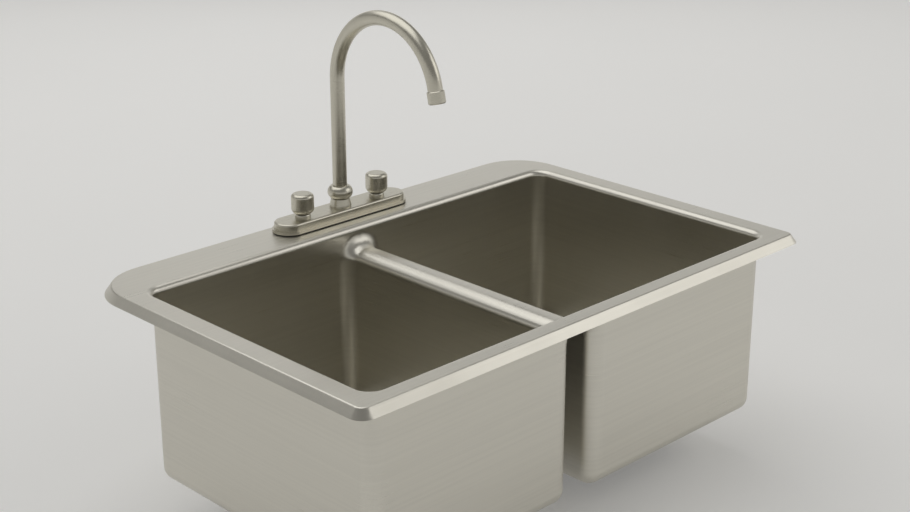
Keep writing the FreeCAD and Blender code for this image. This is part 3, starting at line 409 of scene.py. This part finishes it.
def slot_materials():
    """The material for each slot of the record."""
    return {
        "sink_sheet": sheet_steel(),
        "sound_rubber": rubber("sound_rubber", GREY_RUBBER, 420.0, 0.0003),
        "drain_steel": turned_metal("drain_steel", POLISHED_STEEL, (0.12, 0.2)),
        "basket_steel": turned_metal("basket_steel", BASKET_STEEL, (0.24, 0.36)),
        "seal_rubber": rubber("seal_rubber", BLACK_RUBBER, 900.0, 0.00006),
        "slip_fibre": fibre(),
        "cast_zinc": cast_zinc(),
        "satin_nickel": turned_metal("satin_nickel", SATIN_NICKEL, (0.24, 0.36)),
        "valve_brass": machined_brass(),
        "valve_plastic": moulded_plastic(),
        "screw_steel": turned_metal("screw_steel", PLATED_STEEL, (0.28, 0.4)),
    }


# Shading of the CAD pieces

def smooth_group():
    """A node group that welds a piece's facets and shades them smooth, apart from its sharp edges."""
    group = bpy.data.node_groups.new("smooth_facets", "GeometryNodeTree")
    group.interface.new_socket("Geometry", in_out="INPUT", socket_type="NodeSocketGeometry")
    group.interface.new_socket("Geometry", in_out="OUTPUT", socket_type="NodeSocketGeometry")
    start = group.nodes.new("NodeGroupInput")
    end = group.nodes.new("NodeGroupOutput")
    weld = group.nodes.new("GeometryNodeMergeByDistance")
    weld.inputs["Distance"].default_value = WELD_DISTANCE
    smooth = group.nodes.new("GeometryNodeSetShadeSmooth")
    sharp = group.nodes.new("GeometryNodeSetShadeSmooth")
    sharp.domain = "EDGE"
    sharp.inputs["Shade Smooth"].default_value = False
    angle = group.nodes.new("GeometryNodeInputMeshEdgeAngle")
    wide = group.nodes.new("FunctionNodeCompare")
    wide.inputs["B"].default_value = SHARP_ANGLE
    group.links.new(angle.outputs["Unsigned Angle"], wide.inputs["A"])
    group.links.new(wide.outputs["Result"], sharp.inputs["Selection"])
    group.links.new(start.outputs["Geometry"], weld.inputs["Geometry"])
    group.links.new(weld.outputs["Geometry"], smooth.inputs["Geometry"])
    group.links.new(smooth.outputs["Geometry"], sharp.inputs["Geometry"])
    group.links.new(sharp.outputs["Geometry"], end.inputs["Geometry"])
    return group


def dress(piece, material, group):
    """Gives a piece its material and smooth facets."""
    piece.data.materials.clear()
    piece.data.materials.append(material)
    smoothing = piece.modifiers.new("smooth_facets", "NODES")
    smoothing.node_group = group
    weighted = piece.modifiers.new("weighted_normals", "WEIGHTED_NORMAL")
    weighted.keep_sharp = True


def dress_nodes(materials, group):
    """Gives every CAD piece its slot's material, or its own grain, and smooth facets."""
    own_grain = {"spout_tube": spout_nickel(), "faucet_base": plate_nickel()}
    slots = {row["node"]: row["material_slot"] for row in frame["record"]["subparts"]}
    for name, piece in frame["nodes"].items():
        dress(piece, own_grain.get(name, materials[slots[name]]), group)


# Threads

def thread_mesh(name, axis, radius, low, high, pitch):
    """A ridge wound round an upright shank from low to high, sunk into the shank at both ends."""
    steps = round((high - low - pitch) / pitch * THREAD_SIDES)
    root = radius - RIDGE_SUNK
    spots = []
    faces = [(0, 1, 2, 3)]
    for step in range(steps + 1):
        heading = math.tau * step / THREAD_SIDES
        foot = low + pitch * step / THREAD_SIDES
        fade = min(1.0, step / THREAD_SIDES, (steps - step) / THREAD_SIDES)
        crest = root + (RIDGE_SUNK + RIDGE_HEIGHT * pitch) * fade
        section = ((root, 0.0), (crest, RIDGE_CREST[0]), (crest, RIDGE_CREST[1]), (root, 1.0))
        for away, rise in section:
            across = axis[0] + away * math.cos(heading)
            along = axis[1] + away * math.sin(heading)
            spots.append((across, along, foot + pitch * rise))
    for start in range(0, len(spots) - 4, 4):
        for corner in range(4):
            following = (corner + 1) % 4
            faces.append((start + corner, start + 4 + corner, start + 4 + following, start + following))
    last = len(spots) - 4
    faces.append((last + 3, last + 2, last + 1, last))
    mesh = bpy.data.meshes.new(name)
    mesh.from_pydata(spots, [], faces)
    return mesh


def pin_mount(name):
    """The middle, radius, lower end and upper end of an upright pin that the record states."""
    mount = next(row for row in frame["record"]["mounts"] if row["name"] == name)
    middle, sizes = mount["pos_m"], mount["dims"]
    half = sizes["length_mm"] / 2000.0
    return middle, sizes["r_mm"] / 1000.0, middle[2] - half, middle[2] + half


def add_thread(name, mesh, slot, materials, group):
    """A thread on the sink's own body, with its slot's material."""
    piece = bpy.data.objects.new(name, mesh)
    bpy.context.scene.collection.objects.link(piece)
    dress(piece, materials[slot], group)
    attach(piece, "sink")


def add_drain_threads(materials, group):
    """Threads on the strainers' outlets, and on their cups under the locknuts."""
    for side in ("left", "right"):
        axis, radius, low, high = pin_mount(f"{side}_drain_outlet")
        nut_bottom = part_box(f"{side}_strainer_locknut")[0].z
        outlet, cup = f"{side}_outlet_thread", f"{side}_cup_thread"
        outlet_mesh = thread_mesh(outlet, axis, radius, low, high, DRAIN_PITCH)
        cup_mesh = thread_mesh(cup, axis, CUP_RADIUS, high, nut_bottom, DRAIN_PITCH)
        add_thread(outlet, outlet_mesh, "drain_steel", materials, group)
        add_thread(cup, cup_mesh, "drain_steel", materials, group)


def add_shank_threads(materials, group):
    """Threads on the tap's three shanks: on their narrow ends, and above these up to the nuts."""
    radius, low, high = pin_mount("hot_supply")[1:]
    for name in ("hot", "spout", "cold"):
        nut_low, nut_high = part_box(f"{name}_shank_nut")
        axis = (nut_low + nut_high) / 2.0
        supply, shank = f"{name}_supply_thread", f"{name}_shank_thread"
        supply_mesh = thread_mesh(supply, axis, radius, low, high, SHANK_PITCH)
        shank_mesh = thread_mesh(shank, axis, SHANK_RADIUS, high, nut_low.z, SHANK_PITCH)
        add_thread(supply, supply_mesh, "valve_brass", materials, group)
        add_thread(shank, shank_mesh, "valve_brass", materials, group)


# Stage, light and camera

def add_stage():
    """A wide pale floor at the level of the drains' ends, its far rim curved up all round."""
    low = cad_box[0][2]
    spots = []
    for radius, height in STAGE_PROFILE:
        for step in range(STAGE_SIDES):
            heading = math.tau * step / STAGE_SIDES
            spots.append((radius * math.cos(heading), radius * math.sin(heading), low + height))
    faces = [tuple(range(STAGE_SIDES))]
    for start in range(0, len(spots) - STAGE_SIDES, STAGE_SIDES):
        for step in range(STAGE_SIDES):
            near, following = start + step, start + (step + 1) % STAGE_SIDES
            faces.append((near, near + STAGE_SIDES, following + STAGE_SIDES, following))
    mesh = bpy.data.meshes.new("studio_floor")
    mesh.from_pydata(spots, [], faces)
    mesh.shade_smooth()
    mesh.materials.append(pale_floor())
    floor = bpy.data.objects.new("studio_floor", mesh)
    bpy.context.scene.collection.objects.link(floor)


def add_light(name, place, size, power, colour=(1.0, 1.0, 1.0)):
    """A square or oblong lamp that points at the sink, with its place and size in metres and its watts."""
    data = bpy.data.lights.new(name, "AREA")
    data.shape = "RECTANGLE"
    data.size, data.size_y = size
    data.energy = power
    data.color = colour
    light = bpy.data.objects.new(name, data)
    light.location = place
    light.rotation_euler = (Vector(place) - Vector(LIGHT_AIM)).to_track_quat("Z", "Y").to_euler()
    bpy.context.scene.collection.objects.link(light)


def add_lights():
    """A wide lamp above, one to the right in front and a panel behind, in a dim even room."""
    add_light("top_light", (-0.3, 1.2, 3.2), (4.2, 4.2), 56.0)
    add_light("key_light", (2.9, -2.3, 2.2), (3.2, 2.2), 24.0, (1.0, 0.99, 0.975))
    add_light("rear_panel", (2.2, 2.4, 1.1), (3.0, 1.6), 5.0)
    world = bpy.data.worlds.new("studio")
    world.use_nodes = True
    background = world.node_tree.nodes["Background"]
    background.inputs["Color"].default_value = (0.86, 0.85, 0.82, 1.0)
    background.inputs["Strength"].default_value = 0.26
    bpy.context.scene.world = world


def add_camera():
    """The photograph's view of the sink."""
    data = bpy.data.cameras.new("photo_camera")
    data.sensor_width = SENSOR_WIDTH
    data.lens = FOCAL_PIXELS * SENSOR_WIDTH / PHOTO_WIDTH
    data.clip_end = 50.0
    back = Vector((
        math.sin(CAMERA_AZIMUTH) * math.cos(CAMERA_ELEVATION),
        -math.cos(CAMERA_AZIMUTH) * math.cos(CAMERA_ELEVATION),
        math.sin(CAMERA_ELEVATION),
    ))
    camera = bpy.data.objects.new("photo_camera", data)
    camera.location = CAMERA_TARGET + back * CAMERA_DISTANCE
    camera.rotation_euler = back.to_track_quat("Z", "Y").to_euler()
    bpy.context.scene.collection.objects.link(camera)
    bpy.context.scene.camera = camera


finishes = slot_materials()
facets = smooth_group()
dress_nodes(finishes, facets)
add_drain_threads(finishes, facets)
add_shank_threads(finishes, facets)
add_stage()
add_lights()
add_camera()
bpy.context.scene.view_settings.view_transform = "Standard"
